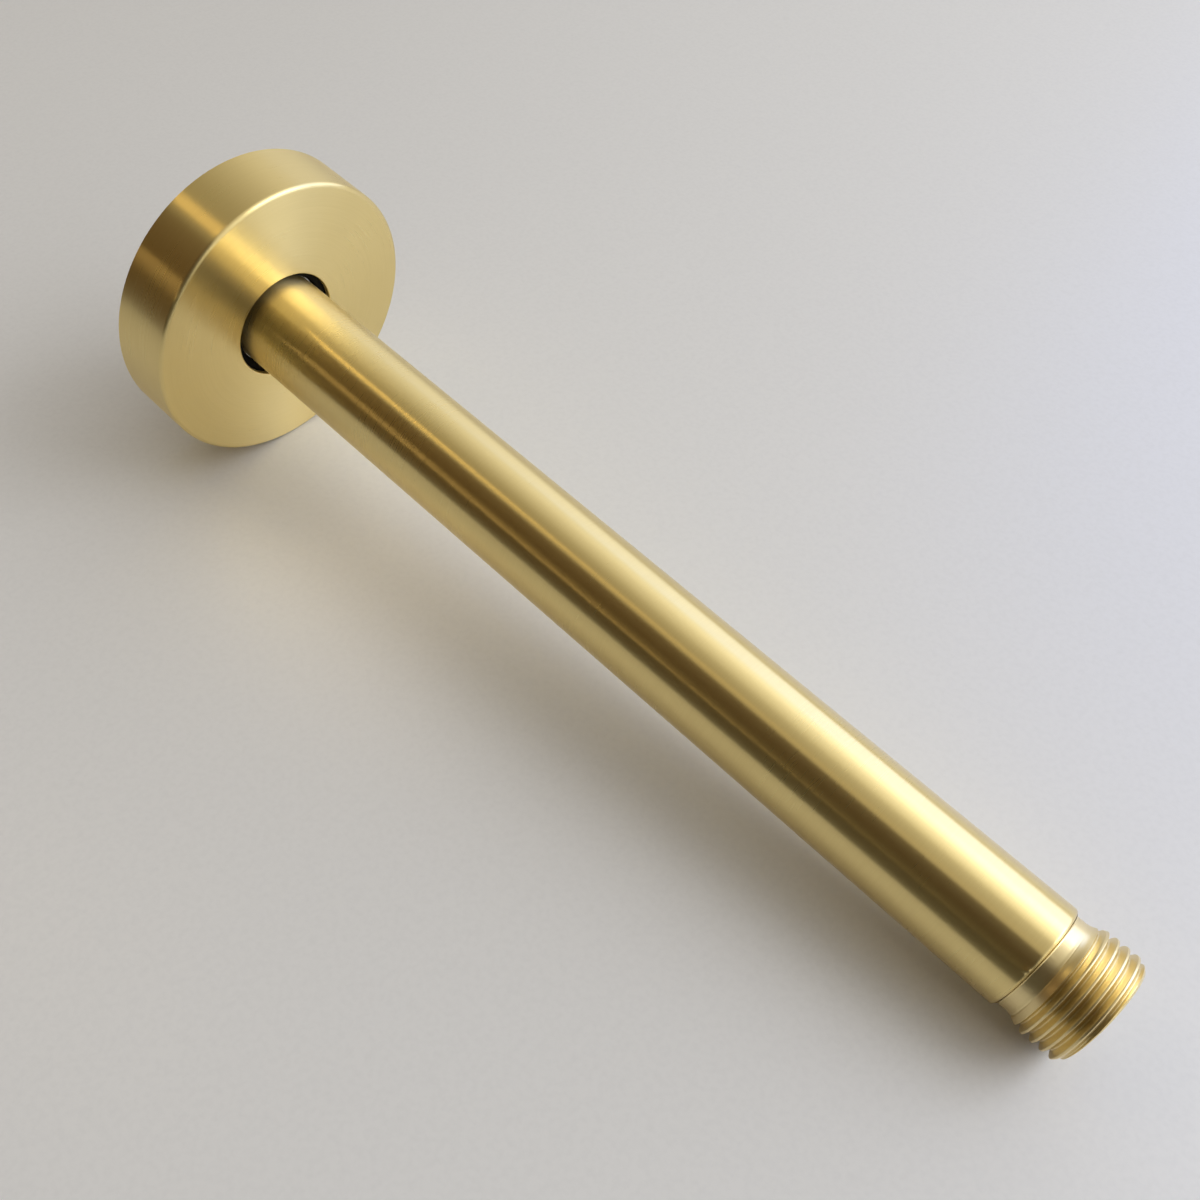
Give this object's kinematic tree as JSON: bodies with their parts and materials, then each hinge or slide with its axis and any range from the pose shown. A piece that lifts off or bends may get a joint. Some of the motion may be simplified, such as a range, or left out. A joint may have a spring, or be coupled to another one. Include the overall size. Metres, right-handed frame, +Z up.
{
  "type": "shower arm",
  "caption": "Straight round brass shower arm with a pipe thread at each end and a loose round cover flange that slides and turns on the tube, held by a rubber ring.",
  "frame": {"origin": "on the tube's axis in the plane of the finished wall, which is the plane of the flange's back rim at rest", "axes": "+X along the arm from the wall to the shower head, +Z up, +Y to the left of someone looking along +X"},
  "size_m": [0.2274, 0.0616, 0.0616],
  "materials": {
    "brushed_brass": "satin, brushed round the axis",
    "turned_brass": "bright turned",
    "black_rubber": "smooth, slightly glossy"
  },
  "bodies": {
    "arm": {"arm_tube": "brushed_brass", "outlet_nipple": "turned_brass", "inlet_nipple": "turned_brass"},
    "seal": {"flange_o_ring": "black_rubber"},
    "flange": {"cover_flange": "brushed_brass"}
  },
  "joints": [
    {"name": "flange_slide", "type": "slide", "parent": "arm", "child": "seal", "axis": [1, 0, 0], "range_m": [0, 0.185]},
    {"name": "flange_turn", "type": "hinge", "parent": "seal", "child": "flange", "pos_m": [0.0117, 0, 0], "axis": [1, 0, 0], "continuous": true}
  ]
}
